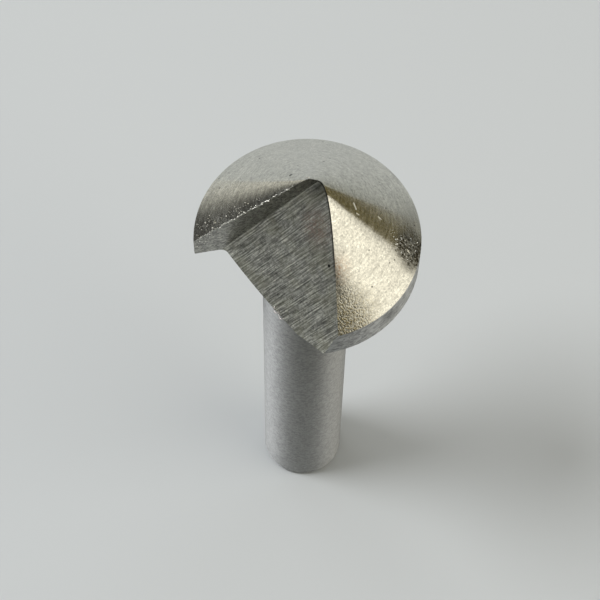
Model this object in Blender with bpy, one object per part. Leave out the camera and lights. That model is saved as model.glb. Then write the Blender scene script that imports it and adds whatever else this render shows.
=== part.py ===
# Chamfer milling cutter: one bar of tool steel with a turned head, one straight ground flute and a plain shank.
# Metres, +Z up. The tool axis is Z, the end of the shank lies on Z = 0 and the cutting point is uppermost.
# Seen from the point the cutter turns anticlockwise, so it cuts right-handed.

import math

import bmesh
import bpy
from mathutils import Matrix, Vector

MM = 0.001

# Overall
OVERALL_LENGTH = 70.0 * MM              # end of the shank to the theoretical point of the cone

# Head
HEAD_DIAMETER = 25.0 * MM
POINT_ANGLE = math.radians(90.0)        # included angle, twice the angle of the chamfer that it cuts
LAND_HEIGHT = 3.85 * MM                 # cylindrical band under the cone
BACK_RIM_WIDTH = 1.5 * MM               # flat ring at the outside of the back face
BACK_TAPER = math.radians(5.0)          # fall of the back face from that ring to the shank
NECK_FILLET_RADIUS = 1.0 * MM           # where the back face runs into the shank

# Shank
SHANK_DIAMETER = 10.0 * MM
SHANK_END_CHAMFER = 0.5 * MM

# Flute, a straight groove with a rake face, a long wall and a rounded root
FLUTE_TILT = math.radians(34.8)         # root line to the tool axis
FLUTE_ANGLE = math.radians(108.1)       # between the rake face and the long wall
FLUTE_ROOT_RADIUS = 0.7 * MM
RAKE_LEAN = math.radians(13.2)          # rake face out of the plane through the root line and parallel to the axis
ROOT_REACH = 2.35 * MM                  # how far past the axis the root line is at the height of the point
POINT_OVERCUT = 0.22 * MM               # how far the rake face passes beyond the point, so that the edge reaches it

# Fineness
TURN_STEPS = 144                        # facets round the tool
FILLET_STEPS = 5                        # facets along a fillet
SHARP_ANGLE = math.radians(20.0)        # edges above this stay crisp in shading
MERGE_DISTANCE = 0.001 * MM

# Worked out from the sizes above
HEAD_RADIUS = HEAD_DIAMETER / 2
SHANK_RADIUS = SHANK_DIAMETER / 2
CONE_BASE = OVERALL_LENGTH - HEAD_RADIUS / math.tan(POINT_ANGLE / 2)
BACK_FACE = CONE_BASE - LAND_HEIGHT


def fillet(corner, first, second, radius):
    """Points of the arc that rounds a corner, from the leg that points along first to the one along second."""
    half_angle = first.angle(second) / 2
    centre = corner + (first + second).normalized() * (radius / math.sin(half_angle))
    leg = radius / math.tan(half_angle)
    start = corner + first * leg - centre
    end = corner + second * leg - centre
    shares = [step / FILLET_STEPS for step in range(FILLET_STEPS + 1)]
    return [centre + start.lerp(end, share).normalized() * radius for share in shares]


def turned_profile():
    """Half section of the blank, radius against height, from the point down to the end of the shank."""
    ring_inside = HEAD_RADIUS - BACK_RIM_WIDTH
    taper_drop = (ring_inside - SHANK_RADIUS) * math.tan(BACK_TAPER)
    neck = Vector((SHANK_RADIUS, BACK_FACE - taper_drop))
    up_the_back_face = Vector((math.cos(BACK_TAPER), math.sin(BACK_TAPER)))
    down_the_shank = Vector((0.0, -1.0))
    return [
        Vector((0.0, OVERALL_LENGTH)),
        Vector((HEAD_RADIUS, CONE_BASE)),
        Vector((HEAD_RADIUS, BACK_FACE)),
        Vector((ring_inside, BACK_FACE)),
        *fillet(neck, up_the_back_face, down_the_shank, NECK_FILLET_RADIUS),
        Vector((SHANK_RADIUS, SHANK_END_CHAMFER)),
        Vector((SHANK_RADIUS - SHANK_END_CHAMFER, 0.0)),
    ]


def turned_blank():
    """The blank before its flute is ground: the half section spun round the tool axis, closed at both ends."""
    blank = bmesh.new()
    corners = [blank.verts.new((point.x, 0.0, point.y)) for point in turned_profile()]
    lines = [blank.edges.new(pair) for pair in zip(corners, corners[1:])]
    bmesh.ops.spin(
        blank,
        geom=corners + lines,
        cent=(0.0, 0.0, 0.0),
        axis=(0.0, 0.0, 1.0),
        angle=math.tau,
        steps=TURN_STEPS,
        use_merge=True,
    )
    bmesh.ops.remove_doubles(blank, verts=blank.verts, dist=MERGE_DISTANCE)
    open_rim = [edge for edge in blank.edges if edge.is_boundary]
    bmesh.ops.holes_fill(blank, edges=open_rim, sides=TURN_STEPS)
    bmesh.ops.recalc_face_normals(blank, faces=blank.faces)
    return blank


def flute_frame():
    """Places the flute: X out from the root line and away from the axis, Y across the head, Z up the root line."""
    outward = Vector((-math.cos(FLUTE_TILT), 0.0, math.sin(FLUTE_TILT)))
    across = Vector((0.0, -1.0, 0.0))
    upward = outward.cross(across)
    # The rake face leans about the root line, so its overcut at the point sets how far behind the axis the root runs.
    lean_shift = ROOT_REACH * math.cos(FLUTE_TILT) * math.sin(RAKE_LEAN)
    root_behind_axis = (POINT_OVERCUT + lean_shift) / math.cos(RAKE_LEAN)
    root_at_point = Vector((ROOT_REACH, root_behind_axis, OVERALL_LENGTH))
    turn = Matrix((outward, across, upward)).transposed().to_4x4()
    return Matrix.Translation(root_at_point) @ turn


def flute_section():
    """Section of the grinding wheel's path, square to the root line: the filleted root, then clear past the head."""
    corner = Vector((0.0, 0.0))
    along_rake = Vector((math.cos(RAKE_LEAN), math.sin(RAKE_LEAN)))
    wall_angle = RAKE_LEAN + FLUTE_ANGLE
    along_wall = Vector((math.cos(wall_angle), math.sin(wall_angle)))
    clear_of_head = HEAD_DIAMETER
    return [
        *fillet(corner, along_rake, along_wall, FLUTE_ROOT_RADIUS),
        along_wall * clear_of_head,
        (along_wall + along_rake) * clear_of_head,
        along_rake * clear_of_head,
    ]


def flute_sweep():
    """The stock that grinding takes away: the section swept along the root line, from below the head to past it."""
    sweep = bmesh.new()
    below = Vector((0.0, 0.0, -OVERALL_LENGTH))
    above = Vector((0.0, 0.0, HEAD_RADIUS))
    outline = [sweep.verts.new(point.to_3d() + below) for point in flute_section()]
    end_face = sweep.faces.new(outline)
    swept = bmesh.ops.extrude_face_region(sweep, geom=[end_face])["geom"]
    moved = [item for item in swept if isinstance(item, bmesh.types.BMVert)]
    bmesh.ops.translate(sweep, verts=moved, vec=above - below)
    bmesh.ops.transform(sweep, matrix=flute_frame(), verts=sweep.verts)
    bmesh.ops.recalc_face_normals(sweep, faces=sweep.faces)
    return sweep


def ground_steel():
    """Bare high-speed steel with a satin ground finish."""
    steel = bpy.data.materials.new("ground_tool_steel")
    steel.use_nodes = True
    surface = steel.node_tree.nodes["Principled BSDF"]
    surface.inputs["Base Color"].default_value = (0.45, 0.44, 0.42, 1.0)
    surface.inputs["Metallic"].default_value = 1.0
    surface.inputs["Roughness"].default_value = 0.35
    return steel


def add_object(name, shape):
    """A new object in the scene, holding the shape."""
    mesh = bpy.data.meshes.new(name)
    shape.to_mesh(mesh)
    shape.free()
    item = bpy.data.objects.new(name, mesh)
    bpy.context.collection.objects.link(item)
    return item


def grind(work, sweep):
    """Cuts the sweep out of the work and keeps the cut shape as the work's own mesh."""
    cut = work.modifiers.new("ground_flute", "BOOLEAN")
    cut.operation = "DIFFERENCE"
    cut.solver = "EXACT"
    cut.object = sweep
    evaluated = work.evaluated_get(bpy.context.evaluated_depsgraph_get())
    ground = bpy.data.meshes.new_from_object(evaluated)
    work.modifiers.clear()
    work.data = ground
    bpy.data.objects.remove(sweep)


def build():
    for leftover in list(bpy.data.objects):
        bpy.data.objects.remove(leftover)
    cutter = add_object("chamfer_cutter", turned_blank())
    grind(cutter, add_object("flute_sweep", flute_sweep()))
    cutter.data.name = "chamfer_cutter"
    cutter.data.materials.append(ground_steel())
    cutter.data.shade_smooth()
    cutter.data.set_sharp_from_angle(angle=SHARP_ANGLE)


build()
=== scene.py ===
# Looks of the chamfer milling cutter: a finely faceted copy of the steel tool with its ground finishes,
# stood on a pale floor among a few studio cards.

import math
import random

import bmesh
import bpy
from mathutils import Matrix, Quaternion, Vector

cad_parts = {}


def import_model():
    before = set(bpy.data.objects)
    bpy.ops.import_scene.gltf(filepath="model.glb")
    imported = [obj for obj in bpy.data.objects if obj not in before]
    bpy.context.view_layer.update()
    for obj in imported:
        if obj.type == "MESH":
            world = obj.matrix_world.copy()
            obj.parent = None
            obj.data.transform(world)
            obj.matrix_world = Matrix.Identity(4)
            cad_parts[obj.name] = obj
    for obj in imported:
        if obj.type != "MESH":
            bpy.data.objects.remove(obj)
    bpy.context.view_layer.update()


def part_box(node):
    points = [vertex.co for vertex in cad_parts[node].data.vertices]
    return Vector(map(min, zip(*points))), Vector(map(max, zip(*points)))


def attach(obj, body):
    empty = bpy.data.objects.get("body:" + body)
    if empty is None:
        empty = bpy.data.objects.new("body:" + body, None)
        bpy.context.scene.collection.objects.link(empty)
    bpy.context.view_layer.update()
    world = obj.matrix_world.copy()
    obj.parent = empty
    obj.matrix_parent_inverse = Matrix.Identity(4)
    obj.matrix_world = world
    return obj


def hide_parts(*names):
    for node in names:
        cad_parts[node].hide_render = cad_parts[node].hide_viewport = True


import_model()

MM = 0.001

# The tool, as the frame gives it
NODE = "chamfer_cutter"
HEAD_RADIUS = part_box(NODE)[1][0]

# The tool, the same driving sizes as its solid
OVERALL_LENGTH = 70.0 * MM              # end of the shank to the theoretical point of the cone
POINT_ANGLE = math.radians(90.0)        # included angle
LAND_HEIGHT = 3.85 * MM                 # cylindrical band under the cone
BACK_RIM_WIDTH = 1.5 * MM               # flat ring at the outside of the back face
BACK_TAPER = math.radians(5.0)          # fall of the back face from that ring to the shank
NECK_FILLET_RADIUS = 1.0 * MM           # where the back face runs into the shank
SHANK_RADIUS = 5.0 * MM
SHANK_END_CHAMFER = 0.5 * MM
FLUTE_TILT = math.radians(34.8)         # root line to the tool axis
FLUTE_ANGLE = math.radians(108.1)       # between the rake face and the long wall
FLUTE_ROOT_RADIUS = 0.7 * MM
RAKE_LEAN = math.radians(13.2)          # rake face to the plane through the root line and along the axis
ROOT_REACH = 2.35 * MM                  # how far past the axis the root line is at the height of the point
POINT_OVERCUT = 0.22 * MM               # how far the rake face passes beyond the point

# The fine edges that the solid leaves out
RIM_BREAK = 0.14 * MM                   # round on the edges of the land
END_ROUND = 0.5 * MM                    # round between the shank and its end chamfer
TIP_RING = 0.06 * MM                    # radius of the first ring of corners under the point
HEEL_FLAT_ALONG_BACK = 3.1 * MM         # the knocked-off corner of the heel, along its three edges
HEEL_FLAT_ROUND_LAND = 0.95 * MM
HEEL_FLAT_UP_LAND = 3.0 * MM
HEEL_CUTTER_REACH = 5.0 * MM            # the block that takes that corner off, across and deep
HEEL_CUTTER_DEPTH = 1.5 * MM

# Fineness
TURN_STEPS = 600
FILLET_STEPS = 8
BREAK_STEPS = 3
SHARP_ANGLE = math.radians(9.0)
MERGE_DISTANCE = 0.0005 * MM

# Worked out from the sizes above
CONE_BASE = OVERALL_LENGTH - HEAD_RADIUS / math.tan(POINT_ANGLE / 2)
BACK_FACE = CONE_BASE - LAND_HEIGHT
NECK_DROP = (HEAD_RADIUS - BACK_RIM_WIDTH - SHANK_RADIUS) * math.tan(BACK_TAPER)

# The finishes in the order of their slots on the tool, each named for the function that makes it
FINISHES = [
    "ground_cone",
    "ground_land",
    "turned_back",
    "ground_shank",
    "ground_rake_face",
    "ground_flute_wall",
]


def linear(hex_colour):
    """sRGB hex to the linear colour that the shaders take."""
    parts = [int(hex_colour[place:place + 2], 16) / 255 for place in (0, 2, 4)]
    return [part / 12.92 if part <= 0.04045 else ((part + 0.055) / 1.055) ** 2.4 for part in parts] + [1.0]


def add_node(tree, kind, settings=None, inputs=None, links=None):
    """Adds a node: settings are its properties, inputs its socket values, links its socket sources."""
    node = tree.nodes.new(kind)
    for name, value in (settings or {}).items():
        setattr(node, name, value)
    for name, value in (inputs or {}).items():
        node.inputs[name].default_value = value
    for name, source in (links or {}).items():
        tree.links.new(source, node.inputs[name])
    return node


def new_material(name):
    """An empty node material and its output node."""
    material = bpy.data.materials.new(name)
    material.use_nodes = True
    material.node_tree.nodes.clear()
    output = add_node(material.node_tree, "ShaderNodeOutputMaterial")
    return material, material.node_tree, output


def add_object(name, shape):
    """A new object in the scene, holding the shape."""
    mesh = bpy.data.meshes.new(name)
    shape.to_mesh(mesh)
    shape.free()
    item = bpy.data.objects.new(name, mesh)
    bpy.context.collection.objects.link(item)
    return item


# Shape of the tool

def fillet(corner, first, second, radius, steps):
    """Points of the arc that rounds a corner, from the leg along first to the leg along second."""
    half_angle = first.angle(second) / 2
    centre = corner + (first + second).normalized() * (radius / math.sin(half_angle))
    leg = radius / math.tan(half_angle)
    start = corner + first * leg - centre
    end = corner + second * leg - centre
    shares = [step / steps for step in range(steps + 1)]
    return [centre + start.lerp(end, share).normalized() * radius for share in shares]


def rounded(points, radius):
    """Each inner point of a profile replaced by a small round between its neighbours."""
    result = [points[0]]
    for before, here, after in zip(points, points[1:], points[2:]):
        back = (before - here).normalized()
        onward = (after - here).normalized()
        result += fillet(here, back, onward, radius, BREAK_STEPS)
    return result + [points[-1]]


def turned_profile():
    """Half section of the blank, radius against height, from the point down to the end of the shank."""
    ring_inside = HEAD_RADIUS - BACK_RIM_WIDTH
    neck = Vector((SHANK_RADIUS, BACK_FACE - NECK_DROP))
    up_the_back_face = Vector((math.cos(BACK_TAPER), math.sin(BACK_TAPER)))
    down_the_shank = Vector((0.0, -1.0))
    above_end = SHANK_END_CHAMFER * 2
    head = [
        Vector((TIP_RING, OVERALL_LENGTH - TIP_RING / math.tan(POINT_ANGLE / 2))),
        Vector((HEAD_RADIUS, CONE_BASE)),
        Vector((HEAD_RADIUS, BACK_FACE)),
        Vector((ring_inside, BACK_FACE)),
    ]
    end = [
        Vector((SHANK_RADIUS, above_end)),
        Vector((SHANK_RADIUS, SHANK_END_CHAMFER)),
        Vector((SHANK_RADIUS - SHANK_END_CHAMFER, 0.0)),
    ]
    return [
        Vector((0.0, OVERALL_LENGTH)),
        *rounded(head, RIM_BREAK),
        *fillet(neck, up_the_back_face, down_the_shank, NECK_FILLET_RADIUS, FILLET_STEPS),
        *rounded(end, END_ROUND),
    ]


def turned_finish(face):
    """The finish of a face of the blank, by where the face lies."""
    centre = face.calc_center_median()
    radius = math.hypot(centre.x, centre.y)
    if centre.z > CONE_BASE:
        return FINISHES.index("ground_cone")
    if centre.z > BACK_FACE and radius > HEAD_RADIUS - RIM_BREAK:
        return FINISHES.index("ground_land")
    if centre.z > BACK_FACE - NECK_DROP - NECK_FILLET_RADIUS:
        return FINISHES.index("turned_back")
    return FINISHES.index("ground_shank")


def turned_blank():
    """The blank before its flute is ground: the half section spun round the tool axis."""
    blank = bmesh.new()
    corners = [blank.verts.new((point.x, 0.0, point.y)) for point in turned_profile()]
    lines = [blank.edges.new(pair) for pair in zip(corners, corners[1:])]
    bmesh.ops.spin(
        blank,
        geom=corners + lines,
        cent=(0.0, 0.0, 0.0),
        axis=(0.0, 0.0, 1.0),
        angle=math.tau,
        steps=TURN_STEPS,
        use_merge=True,
    )
    bmesh.ops.remove_doubles(blank, verts=blank.verts, dist=MERGE_DISTANCE)
    open_rim = [edge for edge in blank.edges if edge.is_boundary]
    bmesh.ops.holes_fill(blank, edges=open_rim, sides=TURN_STEPS)
    bmesh.ops.recalc_face_normals(blank, faces=blank.faces)
    for face in blank.faces:
        face.material_index = turned_finish(face)
    return blank


def flute_frame():
    """Places the flute: X from the root line away from the axis, Y across the head, Z up the root line."""
    outward = Vector((-math.cos(FLUTE_TILT), 0.0, math.sin(FLUTE_TILT)))
    across = Vector((0.0, -1.0, 0.0))
    upward = outward.cross(across)
    lean_shift = ROOT_REACH * math.cos(FLUTE_TILT) * math.sin(RAKE_LEAN)
    root_behind_axis = (POINT_OVERCUT + lean_shift) / math.cos(RAKE_LEAN)
    root_at_point = Vector((ROOT_REACH, root_behind_axis, OVERALL_LENGTH))
    turn = Matrix((outward, across, upward)).transposed().to_4x4()
    return Matrix.Translation(root_at_point) @ turn


def flute_section():
    """Section of the flute square to its root line: the filleted root, then clear past the head."""
    corner = Vector((0.0, 0.0))
    along_rake = Vector((math.cos(RAKE_LEAN), math.sin(RAKE_LEAN)))
    wall_angle = RAKE_LEAN + FLUTE_ANGLE
    along_wall = Vector((math.cos(wall_angle), math.sin(wall_angle)))
    clear_of_head = HEAD_RADIUS * 2
    return [
        *fillet(corner, along_rake, along_wall, FLUTE_ROOT_RADIUS, FILLET_STEPS),
        along_wall * clear_of_head,
        (along_wall + along_rake) * clear_of_head,
        along_rake * clear_of_head,
    ]


def flute_sweep():
    """The stock that grinding takes away: the section swept along the root line, through the whole head."""
    sweep = bmesh.new()
    below = Vector((0.0, 0.0, -OVERALL_LENGTH))
    above = Vector((0.0, 0.0, HEAD_RADIUS))
    outline = [sweep.verts.new(point.to_3d() + below) for point in flute_section()]
    end_face = sweep.faces.new(outline)
    swept = bmesh.ops.extrude_face_region(sweep, geom=[end_face])["geom"]
    moved = [item for item in swept if isinstance(item, bmesh.types.BMVert)]
    bmesh.ops.translate(sweep, verts=moved, vec=above - below)
    bmesh.ops.recalc_face_normals(sweep, faces=sweep.faces)
    rake_normal = Vector((math.sin(RAKE_LEAN), -math.cos(RAKE_LEAN), 0.0))
    for face in sweep.faces:
        on_rake = face.normal.angle(rake_normal) < SHARP_ANGLE
        face.material_index = FINISHES.index("ground_rake_face" if on_rake else "ground_flute_wall")
    bmesh.ops.transform(sweep, matrix=flute_frame(), verts=sweep.verts)
    return sweep


def grind(work, sweep):
    """Cuts the sweep out of the work and keeps the cut shape as the work's own mesh."""
    cut = work.modifiers.new("ground_flute", "BOOLEAN")
    cut.operation = "DIFFERENCE"
    cut.solver = "EXACT"
    cut.material_mode = "INDEX"
    cut.object = sweep
    evaluated = work.evaluated_get(bpy.context.evaluated_depsgraph_get())
    ground = bpy.data.meshes.new_from_object(evaluated)
    work.modifiers.clear()
    work.data = ground
    bpy.data.objects.remove(sweep)


def wall_plane():
    """The long wall as the direction out of the metal and the distance along it."""
    frame_of_flute = flute_frame()
    wall_angle = RAKE_LEAN + FLUTE_ANGLE
    normal = frame_of_flute.to_3x3() @ Vector((math.sin(wall_angle), -math.cos(wall_angle), 0.0))
    return normal, normal.dot(frame_of_flute.translation)


def head_circle_point(height, side):
    """Where the long wall meets the land at a height, on the heel side (1) or the far side (-1)."""
    wall_normal, wall_offset = wall_plane()
    level = Vector((wall_normal.x, wall_normal.y))
    nearest = level * ((wall_offset - wall_normal.z * height) / level.length_squared)
    half_chord = math.sqrt(HEAD_RADIUS ** 2 - nearest.length_squared)
    along = Vector((-level.y, level.x)).normalized() * side
    place = nearest + along * half_chord
    return Vector((place.x, place.y, height))


def heel_cutter():
    """A flat block whose inner face knocks the low corner off the heel."""
    corner = head_circle_point(BACK_FACE, 1)
    far_corner = head_circle_point(BACK_FACE, -1)
    along_back = corner + (far_corner - corner).normalized() * HEEL_FLAT_ALONG_BACK
    up_land = head_circle_point(BACK_FACE + HEEL_FLAT_UP_LAND, 1)
    round_land = Matrix.Rotation(HEEL_FLAT_ROUND_LAND / HEAD_RADIUS, 3, "Z") @ corner
    outward = (up_land - along_back).cross(round_land - along_back).normalized()
    if outward.dot(corner - along_back) < 0:
        outward.negate()
    block = bmesh.new()
    bmesh.ops.create_cube(block, size=1.0)
    size = Matrix.Diagonal((HEEL_CUTTER_REACH, HEEL_CUTTER_REACH, HEEL_CUTTER_DEPTH, 1.0))
    turn = outward.to_track_quat("Z", "Y").to_matrix().to_4x4()
    middle = (along_back + up_land + round_land) / 3 + outward * (HEEL_CUTTER_DEPTH / 2)
    bmesh.ops.transform(block, matrix=Matrix.Translation(middle) @ turn @ size, verts=block.verts)
    for face in block.faces:
        face.material_index = FINISHES.index("ground_flute_wall")
    return block


def mark_finish_borders(mesh):
    """Edges between two finishes stay crisp, so that the flat faces shade flat."""
    shape = bmesh.new()
    shape.from_mesh(mesh)
    for edge in shape.edges:
        finishes = {face.material_index for face in edge.link_faces}
        if len(finishes) > 1:
            edge.smooth = False
    shape.to_mesh(mesh)
    shape.free()


# Places in the patterns, all in millimetres

def object_point(tree):
    """A place on the tool."""
    place = add_node(tree, "ShaderNodeTexCoord")
    scaled = add_node(
        tree,
        "ShaderNodeVectorMath",
        {"operation": "SCALE"},
        {"Scale": 1 / MM},
        {"Vector": place.outputs["Object"]},
    )
    return scaled.outputs["Vector"]


def level_and_height(tree):
    """A place on the tool, as its way out from the axis and its height."""
    parts = add_node(tree, "ShaderNodeSeparateXYZ", links={"Vector": object_point(tree)}).outputs
    level = add_node(tree, "ShaderNodeCombineXYZ", links={"X": parts["X"], "Y": parts["Y"]})
    return level.outputs["Vector"], parts["Z"]


def length(tree, way):
    """How long a way is."""
    node = add_node(tree, "ShaderNodeVectorMath", {"operation": "LENGTH"}, links={0: way})
    return node.outputs["Value"]


def round_point(tree, circle_radius):
    """A seamless place for marks round the tool: the turn as a circle, then the way along the profile.

    The smaller the circle, the longer the marks.
    """
    level, height = level_and_height(tree)
    turn = add_node(tree, "ShaderNodeVectorMath", {"operation": "NORMALIZE"}, links={"Vector": level})
    circle = add_node(
        tree,
        "ShaderNodeVectorMath",
        {"operation": "SCALE"},
        {"Scale": circle_radius},
        {"Vector": turn.outputs["Vector"]},
    )
    on_circle = add_node(tree, "ShaderNodeSeparateXYZ", links={"Vector": circle.outputs["Vector"]}).outputs
    along = add_node(
        tree, "ShaderNodeMath", {"operation": "SUBTRACT"}, links={0: height, 1: length(tree, level)}
    )
    place = add_node(
        tree,
        "ShaderNodeCombineXYZ",
        links={"X": on_circle["X"], "Y": on_circle["Y"], "Z": along.outputs["Value"]},
    )
    return place.outputs["Vector"]


def flute_point(tree, leg_angle):
    """A place in the flute: X out along one leg of its section, Y off that leg, Z up its root line."""
    place = add_node(tree, "ShaderNodeTexCoord")
    back = Matrix.Rotation(-leg_angle, 4, "Z") @ flute_frame().inverted()
    turned = add_node(
        tree,
        "ShaderNodeMapping",
        inputs={
            "Location": back.translation / MM,
            "Rotation": back.to_euler(),
            "Scale": (1 / MM, 1 / MM, 1 / MM),
        },
        links={"Vector": place.outputs["Object"]},
    )
    return turned.outputs["Vector"]


# Patterns

WHOLE = (0, 1)                          # all of a pattern's values
NOISE_CORE = (0.3, 0.7)                 # the values that noise mostly has


def marks(tree, place, per_mm, detail):
    """Noise with so many marks to the millimetre each way."""
    dense = add_node(tree, "ShaderNodeVectorMath", {"operation": "MULTIPLY"}, {1: per_mm}, {0: place})
    noise = add_node(
        tree,
        "ShaderNodeTexNoise",
        inputs={"Scale": 1.0, "Detail": detail},
        links={"Vector": dense.outputs["Vector"]},
    )
    return noise.outputs["Fac"]


def grains(tree, place, per_mm):
    """A value of its own for each grain or scratch, from 0 to 1, with so many to the millimetre each way."""
    dense = add_node(tree, "ShaderNodeVectorMath", {"operation": "MULTIPLY"}, {1: per_mm}, {0: place})
    cells = add_node(
        tree, "ShaderNodeTexVoronoi", {"feature": "F1"}, {"Scale": 1.0}, {"Vector": dense.outputs["Vector"]}
    )
    return add_node(tree, "ShaderNodeSeparateColor", links={"Color": cells.outputs["Color"]}).outputs["Red"]


def ranged(tree, source, source_range, result_range):
    """A pattern's values moved from one range to another."""
    node = add_node(
        tree,
        "ShaderNodeMapRange",
        inputs={
            "From Min": source_range[0],
            "From Max": source_range[1],
            "To Min": result_range[0],
            "To Max": result_range[1],
        },
        links={"Value": source},
    )
    return node.outputs["Result"]


def raised(tree, source, height):
    """A pattern's values as heights, up to the one given."""
    return ranged(tree, source, WHOLE, (0, height))


def total(tree, patterns):
    """The sum of some patterns."""
    result = patterns[0]
    for pattern in patterns[1:]:
        joined = add_node(tree, "ShaderNodeMath", {"operation": "ADD"}, links={0: result, 1: pattern})
        result = joined.outputs["Value"]
    return result


def product(tree, patterns):
    """The product of some patterns."""
    result = patterns[0]
    for pattern in patterns[1:]:
        joined = add_node(tree, "ShaderNodeMath", {"operation": "MULTIPLY"}, links={0: result, 1: pattern})
        result = joined.outputs["Value"]
    return result


def near(tree, mark):
    """One at a mark's place on the tool, falling smoothly to nothing as far from it as the mark reaches."""
    centre, reach = mark
    away = add_node(
        tree, "ShaderNodeVectorMath", {"operation": "DISTANCE"}, {1: centre}, {0: object_point(tree)}
    )
    node = add_node(
        tree,
        "ShaderNodeMapRange",
        {"interpolation_type": "SMOOTHSTEP"},
        {"From Min": 0.0, "From Max": reach, "To Min": 1.0, "To Max": 0.0},
        {"Value": away.outputs["Value"]},
    )
    return node.outputs["Result"]


def pits(tree, per_mm, radius):
    """One in sparse pits of a radius in millimetres, nothing elsewhere."""
    scattered = add_node(
        tree, "ShaderNodeTexVoronoi", {"feature": "F1"}, {"Scale": per_mm}, {"Vector": object_point(tree)}
    )
    rim = radius * per_mm
    floor_of_pit = 0.5 * radius * per_mm
    return ranged(tree, scattered.outputs["Distance"], (rim, floor_of_pit), WHOLE)


def tinted(tree, colour, tint, amount):
    """A colour turned towards another by a pattern."""
    mix = add_node(
        tree, "ShaderNodeMix", {"data_type": "RGBA"}, {"B": tint}, {"Factor": amount, "A": colour}
    )
    return mix.outputs["Result"]


def shaded(tree, colour, tones):
    """A colour made lighter and darker by some patterns."""
    plain = add_node(tree, "ShaderNodeCombineXYZ", inputs=dict(zip("XYZ", colour)))
    result = add_node(
        tree,
        "ShaderNodeVectorMath",
        {"operation": "SCALE"},
        links={"Vector": plain.outputs["Vector"], "Scale": product(tree, tones)},
    )
    return result.outputs["Vector"]


def relief(tree, heights):
    """The surface's normal after some heights in millimetres are laid on it."""
    height = total(tree, heights)
    bump = add_node(
        tree, "ShaderNodeBump", inputs={"Strength": 1.0, "Distance": MM}, links={"Height": height}
    )
    return bump.outputs["Normal"]


# Ways of the grinding marks

def round_way(tree):
    """The way round the tool axis."""
    place = add_node(tree, "ShaderNodeTexCoord")
    axis = add_node(tree, "ShaderNodeCombineXYZ", inputs={"Z": 1.0})
    way = add_node(
        tree,
        "ShaderNodeVectorMath",
        {"operation": "CROSS_PRODUCT"},
        links={0: axis.outputs["Vector"], 1: place.outputs["Object"]},
    )
    return way.outputs["Vector"]


def root_way(tree):
    """The way along the root line of the flute."""
    upward = flute_frame().to_3x3().col[2]
    return add_node(tree, "ShaderNodeCombineXYZ", inputs=dict(zip("XYZ", upward))).outputs["Vector"]


def across_marks(tree, marks_way):
    """The direction square to the grinding marks along the surface, which is the one that they blur."""
    surface = add_node(tree, "ShaderNodeNewGeometry")
    way = add_node(
        tree,
        "ShaderNodeVectorMath",
        {"operation": "CROSS_PRODUCT"},
        links={0: surface.outputs["Normal"], 1: marks_way},
    )
    return way.outputs["Vector"]


def steel(tree, output, marks_way, colour, roughness, heights, anisotropy):
    """Bare steel whose grinding marks run one way and blur reflections the other way."""
    surface = add_node(
        tree,
        "ShaderNodeBsdfPrincipled",
        inputs={"Metallic": 1.0, "Anisotropic": anisotropy, "Anisotropic Rotation": 0.0},
        links={
            "Base Color": colour,
            "Roughness": roughness,
            "Normal": relief(tree, heights),
            "Tangent": across_marks(tree, marks_way),
        },
    )
    tree.links.new(surface.outputs["BSDF"], output.inputs["Surface"])


# Colours of the steel, of its stains, of its painted glints and reflections, and of its pits
CONE_STEEL = linear("DAD9D0")
OUTSIDE_STEEL = linear("A8A9A9")
WALL_STEEL = linear("A4A39B")
RAKE_STEEL = linear("8E8D86")
BURR_STEEL = linear("FAF8F0")
HEEL_BURR_STEEL = linear("E2DAD6")
# Painted glints: the warm gold of the softbox's reflection near the heel
GLINT_GOLD = linear("978A62")
# Painted reflection: the dark olive of the cloth mirrored at the cone's right rim
DARK_OLIVE_REFLECTION = linear("3C382B")
PINK_GOLD = linear("B09A84")
HEAT_PURPLE = linear("9A8278")
OIL_OLIVE = linear("9A987E")
PIT_BLACK = linear("2A2925")

# How many marks there are to the millimetre each way. Real grinding marks lie about a hundredth of a
# millimetre apart and would not show, so these are drawn coarser. For rings and speckles the first two
# numbers go round the tool and the third along it. For lines they go across the face, off it and along it.
# The two circles are the radii that round_point takes.
CONE_RINGS = (1.0, 1.0, 2.5)
CONE_RING_CIRCLE = 6.0
OUTSIDE_RINGS = (1.0, 1.0, 5.0)
OUTSIDE_RING_CIRCLE = 4.0
LAND_SPECKLE = (2.6, 2.6, 4.0)
BACK_SPECKLE = (1.0, 1.0, 4.0)
SHANK_SPECKLE = (1.6, 1.6, 4.5)
WALL_LINES = (8.0, 0.0, 0.22)
WALL_FINE_LINES = (7.0, 0.0, 0.6)
RAKE_LINES = (6.0, 0.0, 1.0)
GRIT = (5.0, 5.0, 5.0)
FINE_GRIT = (5.5, 5.5, 5.5)
FINE_GRAIN = (4.5, 4.5, 4.5)
COARSE_GRAIN = (5.0, 5.0, 5.0)
CONE_CLOUDS = (0.35, 0.35, 0.35)
WALL_CLOUDS = (0.4, 0.4, 0.4)
RAGGED_EDGES = (0.9, 0.9, 0.9)

# Heights of the marks in millimetres
CONE_RING_HEIGHT = 0.006
CONE_GRIT_HEIGHT = 0.004
WORN_GRIT_HEIGHT = 0.11
HEEL_SWELL_HEIGHT = 0.11
OUTSIDE_MARK_HEIGHT = 0.003
WALL_LINE_HEIGHT = 0.004
WALL_FINE_LINE_HEIGHT = 0.002
RAKE_LINE_HEIGHT = 0.004
RAKE_GRIT_HEIGHT = 0.006
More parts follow.
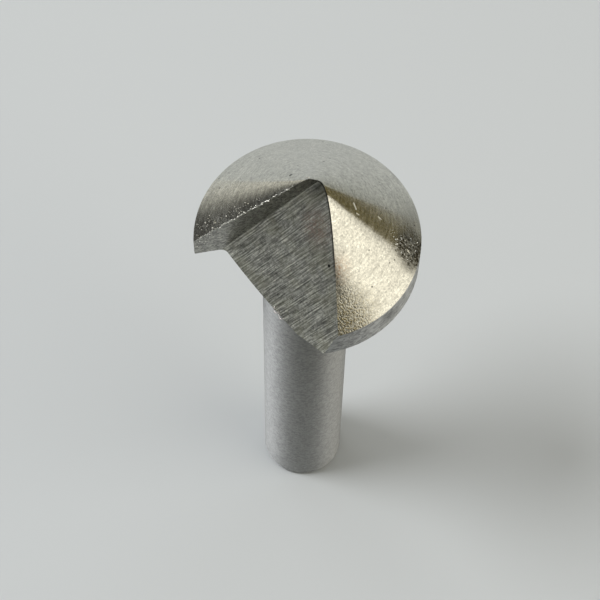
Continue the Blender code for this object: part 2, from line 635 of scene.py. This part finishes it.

# Marks of use, painted shade and painted reflections: the place on the tool and how far from it each one
# reaches, in millimetres
HEEL_SWELL = ((2.4, -6.6, 63.0), 4.0)
HEEL_ROUGH = ((3.2, -11.2, 58.4), 7.0)
# Painted glints: gold speckle where the softbox's reflection ends near the heel
PAINTED_HEEL_GLINTS = ((3.2, -11.2, 58.4), 6.5)
HEEL_PINK = ((2.7, -6.9, 62.8), 2.8)
# Real wear in the bumps, with a painted dark reflection over it
RIM_WEAR_AND_REFLECTION = ((11.3, -2.2, 58.6), 3.5)
# Painted reflection: dark olive near the rim on the right
PAINTED_RIM_REFLECTION = ((11.6, 1.9, 58.2), 4.0)
EDGE_WEAR = ((-9.5, 0.2, 60.5), 4.5)
# Painted shade: the wall and the rake darkened round the point, in the corner of the flute
PAINTED_TIP_SHADE = ((1.1, 0.2, 67.9), 2.6)
# Painted reflection: a dark patch on the land where the floor's shadow would mirror in it
PAINTED_LAND_REFLECTION = ((8.9, -8.8, 55.9), 2.0)
HEAT_TINT = ((0.8, -2.6, 64.4), 3.2)
WALL_PIT = ((2.14, -6.18, 62.39), 0.35)
CONE_PITS = [((-1.86, 2.27, 67.06), 0.36), ((-5.2, 8.45, 60.08), 0.22), ((1.75, 5.66, 64.07), 0.24)]
PIT_RIM = (0.3, 0.6)                    # how near such a pit its black starts, and where it is full
SMALL_PITS_PER_MM = 0.6
SMALL_PIT_RADIUS = 0.13

# A painted shadow: the dark line along the edge where the flute wall meets the cone, in millimetres
EDGE_SHADOW_DEPTHS = (0.12, 0.26)         # how far under the cone it starts to fade and is gone
EDGE_SHADOW_HEIGHTS = (61.5, 63.5)        # how high on the tool it starts and is full


# Finishes of the tool

def ground_cone():
    """Cylindrically ground high-speed steel: fine rings, so the light runs in bands towards the point."""
    material, tree, output = new_material("cylindrically_ground_high_speed_steel")
    place = object_point(tree)
    rings = marks(tree, round_point(tree, CONE_RING_CIRCLE), CONE_RINGS, detail=2.0)
    grit = marks(tree, place, GRIT, detail=3.0)
    fine_grit = marks(tree, place, FINE_GRIT, detail=1.0)
    grain = grains(tree, place, FINE_GRAIN)
    clouds = marks(tree, place, CONE_CLOUDS, detail=2.0)
    ragged = ranged(tree, marks(tree, place, RAGGED_EDGES, detail=2.0), (0.35, 0.55), (0.55, 1.0))
    rim_wear_and_reflection = product(tree, [near(tree, RIM_WEAR_AND_REFLECTION), ragged])
    edge_wear = ranged(tree, near(tree, EDGE_WEAR), WHOLE, (0, 0.4))
    worn = total(tree, [near(tree, HEEL_ROUGH), rim_wear_and_reflection, edge_wear])
    heights = [
        raised(tree, rings, CONE_RING_HEIGHT),
        raised(tree, fine_grit, CONE_GRIT_HEIGHT),
        product(tree, [raised(tree, grit, WORN_GRIT_HEIGHT), worn]),
        raised(tree, near(tree, HEEL_SWELL), HEEL_SWELL_HEIGHT),
    ]

    grain_tone = ranged(tree, grain, WHOLE, (0.79, 1.12))
    grit_tone = ranged(tree, fine_grit, NOISE_CORE, (0.85, 1.09))
    ring_tone = ranged(tree, rings, NOISE_CORE, (0.8, 1.12))
    cloud_tone = ranged(tree, clouds, NOISE_CORE, (0.985, 1.015))
    colour = shaded(tree, CONE_STEEL, [grain_tone, grit_tone, ring_tone, cloud_tone])

    # Painted reflection: dark olive speckle over the worn rim and beside it on the right
    reflection_speckle = ranged(tree, grain, (0.2, 0.8), (0.55, 1.0))
    worn_dark_reflection = product(tree, [ranged(tree, rim_wear_and_reflection, (0, 0.45), WHOLE), reflection_speckle])
    colour = tinted(tree, colour, DARK_OLIVE_REFLECTION, worn_dark_reflection)
    painted_rim_reflection = product(tree, [near(tree, PAINTED_RIM_REFLECTION), ranged(tree, grain, WHOLE, (0.1, 0.4))])
    colour = tinted(tree, colour, DARK_OLIVE_REFLECTION, painted_rim_reflection)
    patchy_grit = ranged(tree, grit, (0.42, 0.58), (0.2, 1.2))
    patchy = product(tree, [patchy_grit, ranged(tree, grain, WHOLE, (0.4, 1.0))])
    # Painted glints: gold speckle near the heel
    colour = tinted(tree, colour, GLINT_GOLD, product(tree, [near(tree, PAINTED_HEEL_GLINTS), patchy]))
    colour = tinted(tree, colour, PINK_GOLD, product(tree, [near(tree, HEEL_PINK), patchy]))
    near_pits = total(tree, [near(tree, pit) for pit in CONE_PITS])
    colour = tinted(tree, colour, PIT_BLACK, ranged(tree, near_pits, PIT_RIM, WHOLE))
    colour = tinted(tree, colour, PIT_BLACK, pits(tree, SMALL_PITS_PER_MM, SMALL_PIT_RADIUS))

    roughness = ranged(tree, rings, NOISE_CORE, (0.17, 0.23))
    steel(tree, output, round_way(tree), colour, roughness, heights, anisotropy=0.7)
    return material


def ground_outside(name, speckle_per_mm, speckle_depth, roughness_range):
    """High-speed steel with rings too fine to tell apart, which smear the light up and down."""
    material, tree, output = new_material(name)
    rings = marks(tree, round_point(tree, OUTSIDE_RING_CIRCLE), OUTSIDE_RINGS, detail=2.0)
    grit = marks(tree, object_point(tree), GRIT, detail=2.0)
    heights = [raised(tree, rings, OUTSIDE_MARK_HEIGHT), raised(tree, grit, OUTSIDE_MARK_HEIGHT)]

    speckle = grains(tree, round_point(tree, HEAD_RADIUS / MM), speckle_per_mm)
    speckle_tone = ranged(tree, speckle, WHOLE, (1 - speckle_depth, 1 + speckle_depth))
    ring_tone = ranged(tree, rings, NOISE_CORE, (0.93, 1.07))
    # Painted reflection: the land darkened where it would mirror the floor's shadow
    painted_reflection_tone = ranged(tree, near(tree, PAINTED_LAND_REFLECTION), WHOLE, (1.0, 0.55))
    colour = shaded(tree, OUTSIDE_STEEL, [speckle_tone, ring_tone, painted_reflection_tone])

    roughness = ranged(tree, rings, NOISE_CORE, roughness_range)
    steel(tree, output, round_way(tree), colour, roughness, heights, anisotropy=0.85)
    return material


def ground_land():
    """The land, ground between centres: short bright streaks round the head."""
    return ground_outside(
        "cylindrically_ground_land", LAND_SPECKLE, speckle_depth=0.36, roughness_range=(0.42, 0.5)
    )


def turned_back():
    """The back face, left as it was turned: faint rings, duller than the land."""
    return ground_outside(
        "turned_high_speed_steel", BACK_SPECKLE, speckle_depth=0.12, roughness_range=(0.58, 0.66)
    )


def ground_shank():
    """The shank, ground without centres: an even satin."""
    return ground_outside(
        "centreless_ground_high_speed_steel", SHANK_SPECKLE, speckle_depth=0.17, roughness_range=(0.58, 0.66)
    )


def depth_and_height(tree):
    """How deep a place in the flute lies under the ground cone, up to 0.7 mm, and its height."""
    level, height = level_and_height(tree)
    reach = total(tree, [length(tree, level), height])
    deepest = math.sin(POINT_ANGLE / 2)
    top = OVERALL_LENGTH / MM
    return ranged(tree, reach, (top - 1, top), (deepest, 0)), height


def ground_flute_wall():
    """High-speed steel cut by a coarse wheel: long stripes along the flute, some of them bright."""
    material, tree, output = new_material("wheel_ground_high_speed_steel")
    place = object_point(tree)
    wall_place = flute_point(tree, RAKE_LEAN + FLUTE_ANGLE)
    lines = marks(tree, wall_place, WALL_LINES, detail=0.0)
    fine_lines = marks(tree, wall_place, WALL_FINE_LINES, detail=0.0)
    grit = marks(tree, place, GRIT, detail=2.0)
    grain = grains(tree, place, COARSE_GRAIN)
    clouds = marks(tree, place, WALL_CLOUDS, detail=3.0)
    heights = [raised(tree, lines, WALL_LINE_HEIGHT), raised(tree, fine_lines, WALL_FINE_LINE_HEIGHT)]

    line_tone = ranged(tree, lines, (0.35, 0.65), (0.7, 1.3))
    fine_line_tone = ranged(tree, fine_lines, NOISE_CORE, (0.6, 1.4))
    grain_tone = ranged(tree, grain, WHOLE, (0.7, 1.3))
    cloud_tone = ranged(tree, clouds, (0.35, 0.65), (0.96, 1.03))
    # Painted shade: the wall darker towards the point, in the corner of the flute
    painted_tip_shade = ranged(tree, near(tree, PAINTED_TIP_SHADE), WHOLE, (1.0, 0.3))
    colour = shaded(tree, WALL_STEEL, [line_tone, fine_line_tone, grain_tone, cloud_tone, painted_tip_shade])

    oily = ranged(tree, clouds, (0.45, 0.65), (0, 0.3))
    colour = tinted(tree, colour, OIL_OLIVE, oily)
    heated = product(tree, [near(tree, HEAT_TINT), ranged(tree, grit, (0.4, 0.6), (0.1, 0.8))])
    colour = tinted(tree, colour, HEAT_PURPLE, heated)
    depth, height = depth_and_height(tree)
    along_edge = ranged(tree, height, EDGE_SHADOW_HEIGHTS, (0, 0.9))
    # Painted shadow: a dark line on the wall along its edge with the cone
    painted_edge_shadow = product(tree, [ranged(tree, depth, EDGE_SHADOW_DEPTHS, (1, 0)), along_edge])
    colour = tinted(tree, colour, PIT_BLACK, painted_edge_shadow)
    colour = tinted(tree, colour, PIT_BLACK, ranged(tree, near(tree, WALL_PIT), PIT_RIM, WHOLE))

    roughness = ranged(tree, lines, NOISE_CORE, (0.5, 0.4))
    steel(tree, output, root_way(tree), colour, roughness, heights, anisotropy=0.6)
    return material


def ground_rake_face():
    """High-speed steel finished by the side of the wheel: an even fine grain."""
    material, tree, output = new_material("fine_ground_high_speed_steel")
    place = flute_point(tree, RAKE_LEAN)
    lines = marks(tree, place, RAKE_LINES, detail=2.0)
    grit = marks(tree, place, FINE_GRAIN, detail=2.0)
    heights = [raised(tree, lines, RAKE_LINE_HEIGHT), raised(tree, grit, RAKE_GRIT_HEIGHT)]

    line_tone = ranged(tree, lines, NOISE_CORE, (0.6, 1.4))
    grain_tone = ranged(tree, grains(tree, place, FINE_GRAIN), WHOLE, (0.5, 1.5))
    # Painted shade: the rake darker towards the point, in the corner of the flute
    painted_tip_shade = ranged(tree, near(tree, PAINTED_TIP_SHADE), WHOLE, (1.0, 0.6))
    colour = shaded(tree, RAKE_STEEL, [line_tone, grain_tone, painted_tip_shade])

    roughness = ranged(tree, grit, NOISE_CORE, (0.25, 0.35))
    steel(tree, output, root_way(tree), colour, roughness, heights, anisotropy=0.3)
    return material


def burr_steel(colour):
    """Torn high-speed steel, bright where it is freshly broken."""
    material, tree, output = new_material("torn_high_speed_steel")
    surface = add_node(
        tree, "ShaderNodeBsdfPrincipled", inputs={"Metallic": 1.0, "Roughness": 0.3, "Base Color": colour}
    )
    tree.links.new(surface.outputs["BSDF"], output.inputs["Surface"])
    return material


def build_cutter():
    """The tool itself, turned, fluted, with the heel's corner knocked off, in the place of its solid."""
    cutter = add_object("fluted_cutter", turned_blank())
    grind(cutter, add_object("flute_sweep", flute_sweep()))
    grind(cutter, add_object("heel_cutter", heel_cutter()))
    cutter.data.name = "fluted_cutter"
    for finish in (ground_cone, ground_land, turned_back, ground_shank, ground_rake_face, ground_flute_wall):
        cutter.data.materials.append(finish())
    cutter.data.shade_smooth()
    cutter.data.set_sharp_from_angle(angle=SHARP_ANGLE)
    mark_finish_borders(cutter.data)
    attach(cutter, "root")
    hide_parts(NODE)


# Burrs

BURR_SEED = 11
BURR_RESOLUTION = 1                     # makes six-sided strands
BURR_THINNING = 4                       # the power that keeps most of a strand thin
EDGE_STEPS = 150
EDGE_BURR_LOW = CONE_BASE + 0.4 * MM
EDGE_BURR_HIGH = OVERALL_LENGTH - 1.6 * MM
CURL_RADIUS = 0.4 * MM
CURL_STEPS = 8
CURL_DROOP = 0.5                        # how far a curl points down, against one out from the wall
CRUMB_LENGTH = 0.05 * MM

# Greatest and least radius of the strands
EDGE_BURR_RADII = (0.11 * MM, 0.015 * MM)
EDGE_CRUMB_RADII = (0.06 * MM, 0.02 * MM)
RIM_CRUMB_RADII = (0.07 * MM, 0.02 * MM)
SCRATCH_RADII = (0.07 * MM, 0.06 * MM)
HEEL_BURR_RADII = (0.07 * MM, 0.03 * MM)

# Patches of crumbs: how many, between which compass angles, and how many millimetres from the axis
EDGE_CRUMBS = [(45, (173, 180), (7, 12)), (45, (170, 188), (10, 12.2)), (14, (170, 179), (5, 8))]
RIM_CRUMBS = [(45, (-18, -5), (9.0, 12.2))]

# The raised sides of scratches on the cone, and the middles of the curls, in millimetres
SCRATCHES = [
    [(4.8, -0.1, 65.2), (5.05, -0.8, 64.9)],
    [(5.1, -1.1, 64.8), (5.4, -1.2, 64.5)],
    [(7.5, -0.3, 62.5), (7.8, -0.6, 62.2)],
    [(10.0, -1.5, 59.9), (10.1, -1.6, 59.8)],
    [(10.7, -2.6, 59.0), (11.0, -2.8, 58.7)],
    [(10.4, -3.1, 59.2), (10.5, -3.2, 59.0)],
    [(10.4, -1.5, 59.5), (10.5, -1.6, 59.4)],
    [(10.7, -2.5, 59.0), (10.9, -2.6, 58.8)],
    [(10.1, -3.6, 59.3), (10.2, -3.7, 59.1)],
    [(-0.3, 0.8, 69.15), (0.0, 0.6, 69.4)],
]
HEEL_CURLS = [(-3.4, -6.95, 53.7), (-2.85, -7.7, 53.65)]

chance = random.Random(BURR_SEED)


def edge_point(height):
    """The cutting edge at a height: where the rake face meets the cone."""
    frame_of_flute = flute_frame()
    normal = frame_of_flute.to_3x3() @ Vector((-math.sin(RAKE_LEAN), math.cos(RAKE_LEAN), 0.0))
    offset = normal.dot(frame_of_flute.translation)
    level = Vector((normal.x, normal.y))
    nearest = level * ((offset - normal.z * height) / level.length_squared)
    half_chord = math.sqrt(max(0.0, (OVERALL_LENGTH - height) ** 2 - nearest.length_squared))
    along = Vector((level.y, -level.x)).normalized()
    if along.x > 0:
        along.negate()
    place = nearest + along * half_chord
    return Vector((place.x, place.y, height))


def curl(place):
    """A small half turn of torn metal that stands out from the flute wall."""
    normal = wall_plane()[0]
    side = normal.cross(Vector((0.0, 0.0, 1.0))).normalized()
    outward = Vector((normal.x, normal.y, -CURL_DROOP)).normalized()
    turns = [math.pi * step / CURL_STEPS for step in range(CURL_STEPS + 1)]
    return [place + (side * math.cos(turn) + outward * math.sin(turn)) * CURL_RADIUS for turn in turns]


def crumbs(count, turns, radii):
    """Specks of torn metal on a patch of the cone, between two compass angles and two radii."""
    specks = []
    for number in range(count):
        turn = math.radians(chance.uniform(*turns))
        radius = chance.uniform(*radii) * MM
        place = Vector((radius * math.cos(turn), radius * math.sin(turn), OVERALL_LENGTH - radius))
        along = Vector([chance.uniform(-1.0, 1.0) for axis in range(3)]).normalized() * CRUMB_LENGTH
        specks.append([place, place + along])
    return specks


def burr(name, strands, radii, colour):
    """Ragged slivers of metal along some lines, thicker and thinner by chance."""
    thickest, thinnest = radii
    line = bpy.data.curves.new(name, "CURVE")
    line.dimensions = "3D"
    line.bevel_depth = thickest
    line.bevel_resolution = BURR_RESOLUTION
    line.use_fill_caps = True
    for points in strands:
        spline = line.splines.new("POLY")
        spline.points.add(len(points) - 1)
        for knot, place in zip(spline.points, points):
            stray = Vector([chance.uniform(-1.0, 1.0) for axis in range(3)]) * thickest
            knot.co = (*(place + stray), 1.0)
            knot.radius = (thinnest + (thickest - thinnest) * chance.random() ** BURR_THINNING) / thickest
    strand = bpy.data.objects.new(name, line)
    bpy.context.collection.objects.link(strand)
    mesh = bpy.data.meshes.new_from_object(strand.evaluated_get(bpy.context.evaluated_depsgraph_get()))
    bpy.data.objects.remove(strand)
    item = bpy.data.objects.new(name, mesh)
    bpy.context.collection.objects.link(item)
    item.data.materials.clear()
    item.data.materials.append(burr_steel(colour))
    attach(item, "root")


def build_burrs():
    """What grinding left standing along the edges, and the raised sides of a few scratches."""
    edge_height = EDGE_BURR_HIGH - EDGE_BURR_LOW
    edge = [edge_point(EDGE_BURR_LOW + edge_height * step / EDGE_STEPS) for step in range(EDGE_STEPS + 1)]
    scratches = [[Vector(place) * MM for place in line] for line in SCRATCHES]
    curls = [curl(Vector(place) * MM) for place in HEEL_CURLS]
    burr("edge_burr", [edge], EDGE_BURR_RADII, BURR_STEEL)
    edge_specks = [speck for patch in EDGE_CRUMBS for speck in crumbs(*patch)]
    burr("edge_crumbs", edge_specks, EDGE_CRUMB_RADII, BURR_STEEL)
    rim_specks = [speck for patch in RIM_CRUMBS for speck in crumbs(*patch)]
    burr("rim_crumbs", rim_specks, RIM_CRUMB_RADII, BURR_STEEL)
    burr("scratch_burr", scratches, SCRATCH_RADII, BURR_STEEL)
    burr("heel_burr", curls, HEEL_BURR_RADII, HEEL_BURR_STEEL)


# Studio, in metres and compass degrees round the tool

FLOOR_COLOUR = linear("CED2D4")
FLOOR_REACH = 2.0
FLOOR_GAP = 0.02 * MM
PAPER_ROUGHNESS = 0.9
PAPER_GLOSS = 0.1
CARD_STEPS = 24
WHITE = linear("FFFFFF")

OVERHEAD_PLACE = Vector((0.1, 0.1, 1.1))
OVERHEAD_SIZE = 1.0
OVERHEAD_RADIANCE = 0.74
KEY_TURN = math.radians(175)
KEY_HEIGHT = math.radians(58)
KEY_DISTANCE = 0.9
KEY_SIZE = 0.35
KEY_RADIANCE = 13.9
ROOM_RADIANCE = 0.24

# The camera, at the photograph's viewing angle
SENSOR_WIDTH = 36.0
LENS = 122.96
CAMERA_PLACE = Vector((-3.723, -106.623, 255.093)) * MM
CAMERA_AIM = Vector((-0.693, 0.0, 42.03)) * MM
CAMERA_ROLL = math.radians(1.08)


def pale_paper():
    """Matt paper under the tool, which shows its soft shadow."""
    material, tree, output = new_material("pale_paper")
    surface = add_node(
        tree, "ShaderNodeBsdfPrincipled", inputs={"Base Color": FLOOR_COLOUR, "Roughness": PAPER_ROUGHNESS}
    )
    surface.inputs["Specular IOR Level"].default_value = PAPER_GLOSS
    tree.links.new(surface.outputs["BSDF"], output.inputs["Surface"])
    return material


def glow(name, colour, strength=1.0):
    """A card's own light, the same all over."""
    material, tree, output = new_material(name)
    light = add_node(tree, "ShaderNodeEmission", inputs={"Color": colour, "Strength": strength})
    tree.links.new(light.outputs["Emission"], output.inputs["Surface"])
    return material


def graded_glow(name, colour, strengths, middle_turn, reaches):
    """A card's light that changes from its middle to its sides, between two angles from the middle."""
    material, tree, output = new_material(name)
    place = add_node(tree, "ShaderNodeTexCoord")
    level = add_node(
        tree,
        "ShaderNodeVectorMath",
        {"operation": "MULTIPLY"},
        {1: (1.0, 1.0, 0.0)},
        {0: place.outputs["Object"]},
    )
    way = add_node(
        tree, "ShaderNodeVectorMath", {"operation": "NORMALIZE"}, links={0: level.outputs["Vector"]}
    )
    middle = math.radians(middle_turn)
    nearness = add_node(
        tree,
        "ShaderNodeVectorMath",
        {"operation": "DOT_PRODUCT"},
        {1: (math.cos(middle), math.sin(middle), 0.0)},
        {0: way.outputs["Vector"]},
    )
    power = add_node(
        tree,
        "ShaderNodeMapRange",
        {"interpolation_type": "SMOOTHSTEP"},
        {
            "From Min": math.cos(math.radians(reaches[1])),
            "From Max": math.cos(math.radians(reaches[0])),
            "To Min": strengths[1],
            "To Max": strengths[0],
        },
        {"Value": nearness.outputs["Value"]},
    )
    light = add_node(
        tree, "ShaderNodeEmission", inputs={"Color": colour}, links={"Strength": power.outputs["Result"]}
    )
    tree.links.new(light.outputs["Emission"], output.inputs["Surface"])
    return material


def floor():
    """The floor, a hair below the end of the shank."""
    sheet = bmesh.new()
    bmesh.ops.create_grid(sheet, x_segments=1, y_segments=1, size=FLOOR_REACH)
    bmesh.ops.translate(sheet, verts=sheet.verts, vec=(0.0, 0.0, -FLOOR_GAP))
    item = add_object("floor", sheet)
    item.data.materials.append(pale_paper())


def standing_card(name, material, turns, distance, heights, casts_shadow=True):
    """A curved card round the tool, between two compass angles, which the camera doesn't see."""
    card = bmesh.new()
    start, end = [math.radians(turn) for turn in turns]
    direction = Vector((math.cos(start), math.sin(start), 0.0)) * distance
    ends = [card.verts.new(direction + Vector((0.0, 0.0, height))) for height in heights]
    line = card.edges.new(ends)
    bmesh.ops.spin(
        card, geom=ends + [line], cent=(0, 0, 0), axis=(0, 0, 1), angle=end - start, steps=CARD_STEPS
    )
    item = add_object(name, card)
    item.data.materials.append(material)
    item.visible_camera = False
    item.visible_shadow = casts_shadow


def cards():
    """Cards for the steel to mirror: a softbox on the right, a bounce high on the left, cloths all round."""
    olive = glow("olive_cloth", linear("6D6340"))
    brown = glow("brown_cloth", linear("5A584A"))
    khaki = glow("khaki_cloth", linear("9E9A7C"))
    grey = glow("grey_cloth", linear("42403A"))
    softbox = graded_glow(
        "warm_softbox", linear("FFF9EA"), strengths=(1.42, 0.21), middle_turn=-18, reaches=(9, 39.5)
    )
    fading = graded_glow(
        "fading_grey_cloth", linear("D0CEC4"), strengths=(0.085, 0.96), middle_turn=165, reaches=(17, 39.5)
    )
    bounce = glow("left_bounce", WHITE, strength=1.1)
    standing_card("softbox_right", softbox, turns=(-56, 10), distance=0.34, heights=(0.03, 0.6))
    standing_card("flag_right", olive, turns=(10, 36), distance=0.34, heights=(0.0, 0.7))
    standing_card("flag_behind", khaki, turns=(36, 137), distance=0.8, heights=(0.0, 0.32))
    standing_card(
        "flag_left", fading, turns=(122, 170), distance=0.155, heights=(0.0, 0.09), casts_shadow=False
    )
    standing_card("flag_far_left", grey, turns=(168, 215), distance=0.6, heights=(0.0, 0.14))
    standing_card("flag_front", brown, turns=(-145, -56), distance=0.15, heights=(0.0, 0.38))
    standing_card(
        "bounce_left", bounce, turns=(105, 200), distance=0.3, heights=(0.2, 0.48), casts_shadow=False
    )


def area_light(name, place, aim, size, radiance):
    """A white round lamp whose face is as bright as the radiance says, whatever its size."""
    light = bpy.data.lights.new(name, "AREA")
    light.shape = "DISK"
    light.size = size
    light.energy = radiance * math.pi * math.pi * (size / 2) ** 2
    light.color = WHITE[:3]
    lamp = bpy.data.objects.new(name, light)
    bpy.context.collection.objects.link(lamp)
    lamp.location = place
    lamp.rotation_euler = (aim - place).to_track_quat("-Z", "Y").to_euler()


def lamps():
    """A wide lamp overhead, and a smaller key from the left whose shadow falls to the right."""
    head = Vector((0.0, 0.0, CONE_BASE))
    level = math.cos(KEY_HEIGHT)
    key_way = Vector((math.cos(KEY_TURN) * level, math.sin(KEY_TURN) * level, math.sin(KEY_HEIGHT)))
    area_light("overhead", OVERHEAD_PLACE, head, OVERHEAD_SIZE, OVERHEAD_RADIANCE)
    area_light("key_left", head + key_way * KEY_DISTANCE, head, KEY_SIZE, KEY_RADIANCE)


def world():
    """A dim white room for soft fill, seen by the camera and in reflections as a pale backdrop."""
    sky = bpy.data.worlds.new("pale_room")
    bpy.context.scene.world = sky
    sky.use_nodes = True
    tree = sky.node_tree
    tree.nodes.clear()
    path = add_node(tree, "ShaderNodeLightPath")
    reflected = add_node(
        tree,
        "ShaderNodeMath",
        {"operation": "MAXIMUM"},
        links={0: path.outputs["Is Glossy Ray"], 1: path.outputs["Is Transmission Ray"]},
    )
    seen = add_node(
        tree,
        "ShaderNodeMath",
        {"operation": "MAXIMUM"},
        links={0: path.outputs["Is Camera Ray"], 1: reflected.outputs["Value"]},
    )
    room = add_node(tree, "ShaderNodeBackground", inputs={"Color": WHITE, "Strength": ROOM_RADIANCE})
    backdrop = add_node(tree, "ShaderNodeBackground", inputs={"Color": FLOOR_COLOUR, "Strength": 1.0})
    mix = add_node(
        tree,
        "ShaderNodeMixShader",
        links={0: seen.outputs["Value"], 1: room.outputs["Background"], 2: backdrop.outputs["Background"]},
    )
    output = add_node(tree, "ShaderNodeOutputWorld")
    tree.links.new(mix.outputs["Shader"], output.inputs["Surface"])


def camera():
    """A camera above and in front of the tool, a little turned about its own line of sight."""
    lens = bpy.data.cameras.new("camera")
    lens.sensor_width = SENSOR_WIDTH
    lens.lens = LENS
    viewer = bpy.data.objects.new("camera", lens)
    bpy.context.collection.objects.link(viewer)
    viewer.location = CAMERA_PLACE
    roll = Quaternion((0.0, 0.0, 1.0), CAMERA_ROLL)
    viewer.rotation_euler = ((CAMERA_AIM - viewer.location).to_track_quat("-Z", "Y") @ roll).to_euler()
    bpy.context.scene.camera = viewer


camera()
world()
lamps()
floor()
cards()
build_cutter()
build_burrs()
bpy.context.scene.view_settings.view_transform = "Standard"
